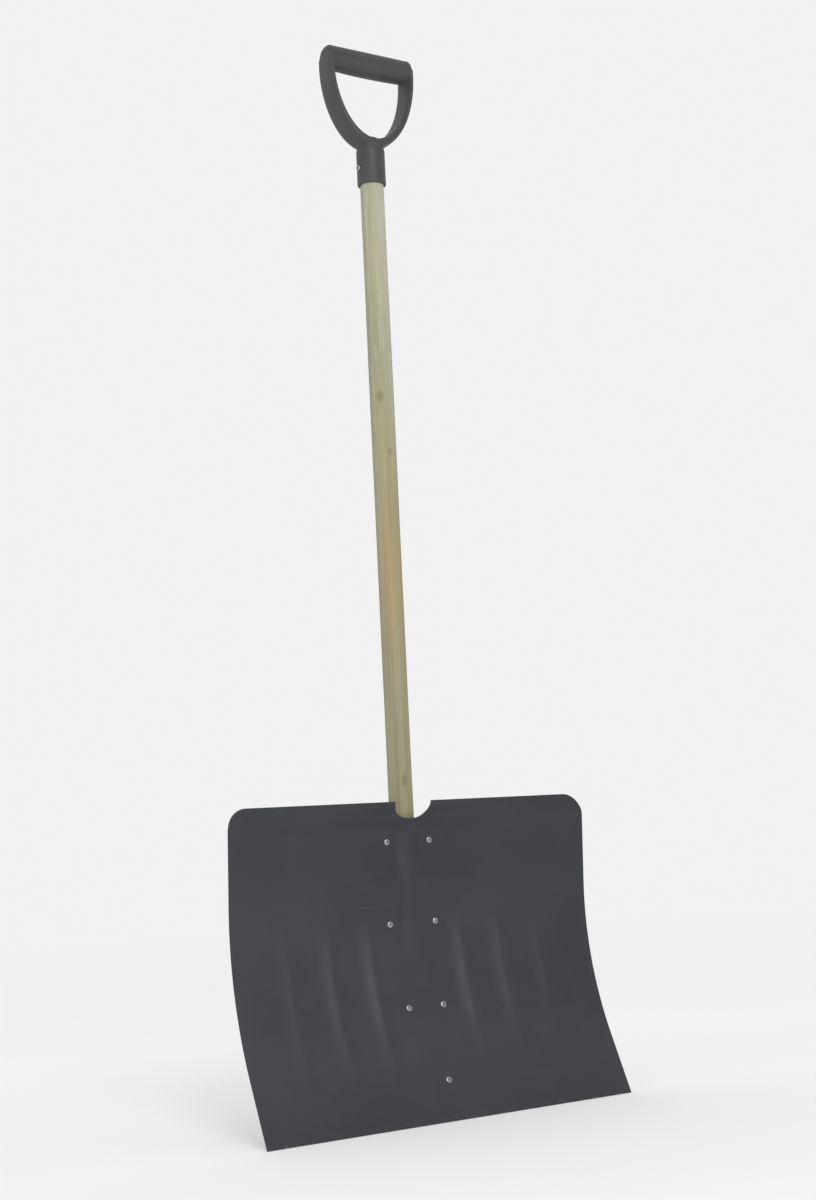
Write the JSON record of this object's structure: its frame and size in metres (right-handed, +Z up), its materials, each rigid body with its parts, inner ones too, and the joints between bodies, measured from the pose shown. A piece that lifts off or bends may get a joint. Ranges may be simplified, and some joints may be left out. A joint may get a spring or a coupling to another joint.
{
  "type": "snow shovel",
  "caption": "Upright snow shovel: wide curved sheet-metal blade with pressed ridges and a notched top edge, riveted to a straight round wooden shaft with a plastic D-grip.",
  "frame": {"origin": "on the floor, at the bottom centre of the bounding box; the shaft's axis is 38 mm behind it", "axes": "+Z up along the shaft towards the grip, +Y towards the back (the blade's hollow front faces -Y), +X along the blade's width"},
  "size_m": [0.5, 0.1164, 1.3053],
  "materials": {
    "blade_paint": "semi-matt charcoal powder coat",
    "bracket_paint": "semi-matt charcoal powder coat",
    "shaft_wood": "unvarnished planed pine",
    "grip_plastic": "moulded, fine texture",
    "rivet_aluminium": "plain",
    "mandrel_steel": "plain",
    "screw_steel": "zinc plated"
  },
  "bodies": {
    "root": {"blade": "blade_paint", "socket_bracket": "bracket_paint", "shaft": "shaft_wood", "d_grip": "grip_plastic", "rivet_top_left": "rivet_aluminium", "rivet_top_right": "rivet_aluminium", "rivet_upper_left": "rivet_aluminium", "rivet_upper_right": "rivet_aluminium", "rivet_lower_left": "rivet_aluminium", "rivet_lower_right": "rivet_aluminium", "rivet_tail": "rivet_aluminium", "mandrel_top_left": "mandrel_steel", "mandrel_top_right": "mandrel_steel", "mandrel_upper_left": "mandrel_steel", "mandrel_upper_right": "mandrel_steel", "mandrel_lower_left": "mandrel_steel", "mandrel_lower_right": "mandrel_steel", "mandrel_tail": "mandrel_steel", "shaft_screw_upper": "screw_steel", "shaft_screw_lower": "screw_steel", "grip_screw": "screw_steel"}
  },
  "joints": []
}
